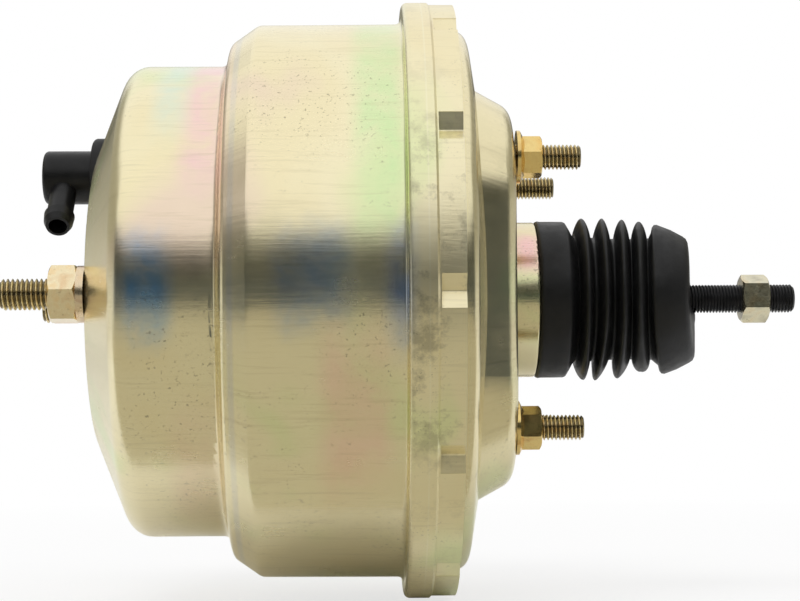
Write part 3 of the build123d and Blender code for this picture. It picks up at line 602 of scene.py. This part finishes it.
def sag(angle, x, r):
    """How the hanging rubber shifts along X and inward: it leans to the camera side and folds below."""
    low = max(0.0, -math.sin(angle)) ** 2.4
    share = min(max((x - 22.5) / 27, 0.0), 1.0)
    high = min(max((r - 20.5) / 6, 0.0), 1.0) if x < 50 else 1.0
    dx = low * float(np.interp(x, hang_places, hang_shift)) * (0.35 + 0.65 * high)
    dx += lean * share * r * math.cos(angle)
    dr = -low * high * float(np.interp(x, hang_places, hang_lift))
    dx += 0.10 * math.sin(3 * angle + x * 0.7) * high * min(share * 4, 1.0)
    return dx, dr


def bellows_rings(line):
    rings = []
    for x, r in line:
        rings.append(circle(x, r, around, squeeze=lambda angle, x=x, r=r: sag(angle, x, r)))
    return rings


folds = fold_line()
inner = [(x, max(r - wall, 19.2)) for x, r in folds[::-1]]
outer_line = folds + cap_line
inner_cap = [(61.6, rod_radius + rod_play), (61.6, 18.2), (60.2, 19.6), (56.5, 21.8)]
inner_cap += [(52.2, 23.7), (51.4, 23.4)]
bellows = skin(bellows_rings(outer_line + inner_cap + inner), loop=True)
boot_bellows = piece("boot_bellows", *bellows)
boot_bellows.data.materials.append(boot_rubber)
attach(boot_bellows, "housing")
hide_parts("boot")
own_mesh(boot_bellows)

collar_inner = [(23.3, valleys[0][1]), (23.3, 19.3), (20.6, 19.8), (20.4, 24.35)]
collar = skin(bellows_rings(collar_line + collar_inner), loop=True)
boot_collar = piece("boot_collar", *collar, sharp=50)
boot_collar.data.materials.append(boot_rubber)
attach(boot_collar, "housing")
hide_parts("boot")
print("boot", len(boot_bellows.data.polygons) + len(boot_collar.data.polygons), "faces")

# %% [markdown]
# ## The bench and its light
# Polished plate shows whatever stands round it. On the real bench that was a white
# sky and floor, with the dark room behind the camera as a band at eye height. Cards
# that the camera doesn't see stand in for that room. Two soft lamps add the shading.

# %% Floor
floor_level = -99.7
floor_reach = 6000
floor_corners = [(-1, -1), (1, -1), (1, 1), (-1, 1)]
floor_points = [(x * floor_reach, y * floor_reach, floor_level) for x, y in floor_corners]
floor = piece("bench_floor", floor_points, [(0, 1, 2, 3)], smooth=False)


def floor_finish():
    """Pale floor, so lit for the camera that only a soft shadow shows near the booster."""
    n = Nodes("bench_floor")
    paint = n.mix(n.noise(3.0, 2.0), (0.93, 0.93, 0.93), (0.91, 0.91, 0.91))
    n.finish(paint, 0.9, Specular_IOR_Level=0.1)
    glow = n.node("ShaderNodeEmission", {"Color": (1, 1, 1, 1), "Strength": 1.0}).outputs[0]
    split = n.node("ShaderNodeSeparateXYZ", {0: n.place}).outputs
    away = n.math("SQRT", n.math("ADD", n.math("POWER", split[0], 2.0), n.math("POWER", split[1], 2.0)))
    fade = n.node("ShaderNodeMapRange", {0: away, 1: 0.10, 2: 0.75, 3: 0.72, 4: 1.0}).outputs[0]
    seen = n.node("ShaderNodeLightPath").outputs["Is Camera Ray"]
    blend = n.node("ShaderNodeMixShader", {0: n.math("MULTIPLY", fade, seen)})
    n.tree.links.new(n.shader.outputs[0], blend.inputs[1])
    n.tree.links.new(glow, blend.inputs[2])
    n.tree.links.new(blend.outputs[0], n.tree.nodes["Material Output"].inputs[0])
    return n.material


floor.data.materials.append(floor_finish())


# %% Cards round the bench
def card_material(name, low, high, soft, shade):
    """A card whose upper and lower edges fade, so that its reflection has no hard line."""
    n = Nodes(name)
    height = n.node("ShaderNodeSeparateXYZ", {0: n.place}).outputs[2]
    rise = n.node("ShaderNodeMapRange", {0: height, 1: low, 2: low + soft}).outputs[0]
    fall = n.node("ShaderNodeMapRange", {0: height, 1: high, 2: high - soft}).outputs[0]
    cover = n.math("MULTIPLY", rise, fall)
    glow = n.node("ShaderNodeEmission", {"Color": shade(n), "Strength": 1.0}).outputs[0]
    clear = n.node("ShaderNodeBsdfTransparent").outputs[0]
    blend = n.node("ShaderNodeMixShader", {0: cover, 1: clear, 2: glow})
    n.tree.links.new(blend.outputs[0], n.tree.nodes["Material Output"].inputs[0])
    return n.material


def hide_card(made, material):
    """Leave a card to reflections alone."""
    made.data.materials.append(material)
    made.visible_camera = False
    made.visible_shadow = False
    made.visible_diffuse = False
    return made


def card(name, radius, from_degrees, to_degrees, low, high, material):
    """A curved upright card, its angle measured from -Y toward +X."""
    steps = 24
    points = []
    for i in range(steps + 1):
        angle = math.radians(from_degrees + (to_degrees - from_degrees) * i / steps)
        x = -50 + radius * math.sin(angle)
        y = -radius * math.cos(angle)
        points += [(x, y, low), (x, y, high)]
    faces = [(2 * i, 2 * i + 2, 2 * i + 3, 2 * i + 1) for i in range(steps)]
    return hide_card(piece(name, points, faces), material)


def even(shade):
    """A card of one soft shade."""
    return lambda n: n.mix(n.noise(2.0), shade, tuple(c * 1.1 for c in shade))


def room_shade(n):
    """Dark green-black with a navy patch low down."""
    split = n.node("ShaderNodeSeparateXYZ", {0: n.place}).outputs
    low = n.node("ShaderNodeMapRange", {0: split[2], 1: 0.14, 2: 0.0}).outputs[0]
    return n.mix(low, (0.018, 0.022, 0.013), (0.012, 0.030, 0.050))


room = card_material("room_card", -0.22, 0.46, 0.12, room_shade)
grey = card_material("side_card", -0.09, 0.95, 0.3, even((0.34, 0.33, 0.28)))
dusk = card_material("back_card", -0.09, 0.50, 0.24, even((0.06, 0.06, 0.05)))
card("room_card", 1000, -75, 75, -240, 500, room)
card("left_card", 1010, -150, -75, -90, 950, grey)
card("right_card", 1010, 75, 150, -90, 950, grey)
card("back_card", 1000, 150, 210, -90, 500, dusk)

apron = [(-900, -1400, -98), (800, -1400, -98), (800, -60, -98), (-900, -60, -98)]
apron = piece("apron_card", apron, [(0, 1, 2, 3)], smooth=False)
hide_card(apron, card_material("apron_card", -1.0, 1.0, 0.01, even((0.46, 0.43, 0.34))))

# %% Lamps and sky
def lamp(name, place, size, power, color=(1, 1, 1)):
    light = bpy.data.lights.new(name, "AREA")
    light.shape = "DISK"
    light.size = size
    light.energy = power
    light.color = color
    made = bpy.data.objects.new(name, light)
    made.location = place
    aim = Vector((-0.03, 0, 0)) - Vector(place)
    made.rotation_euler = aim.to_track_quat("-Z", "Y").to_euler()
    made.visible_glossy = False
    bpy.context.collection.objects.link(made)
    return made


lamp("key_lamp", (-0.5, -0.7, 1.4), 0.9, 9)
lamp("fill_lamp", (0.9, -0.3, 0.9), 0.8, 2.5)

sky = bpy.data.worlds.new("bench_sky")
bpy.context.scene.world = sky
sky.use_nodes = True
tree = sky.node_tree
background = tree.nodes["Background"]
background.inputs["Color"].default_value = (1, 1, 1, 1)
seen = tree.nodes.new("ShaderNodeLightPath")
either = tree.nodes.new("ShaderNodeMath")
either.operation = "MAXIMUM"
tree.links.new(seen.outputs["Is Camera Ray"], either.inputs[0])
tree.links.new(seen.outputs["Is Glossy Ray"], either.inputs[1])
both = tree.nodes.new("ShaderNodeMath")
both.operation = "MAXIMUM"
tree.links.new(either.outputs[0], both.inputs[0])
tree.links.new(seen.outputs["Is Transmission Ray"], both.inputs[1])
level = tree.nodes.new("ShaderNodeMapRange")
level.inputs["To Min"].default_value = 0.70
level.inputs["To Max"].default_value = 1.0
tree.links.new(both.outputs[0], level.inputs["Value"])
tree.links.new(level.outputs["Result"], background.inputs["Strength"])
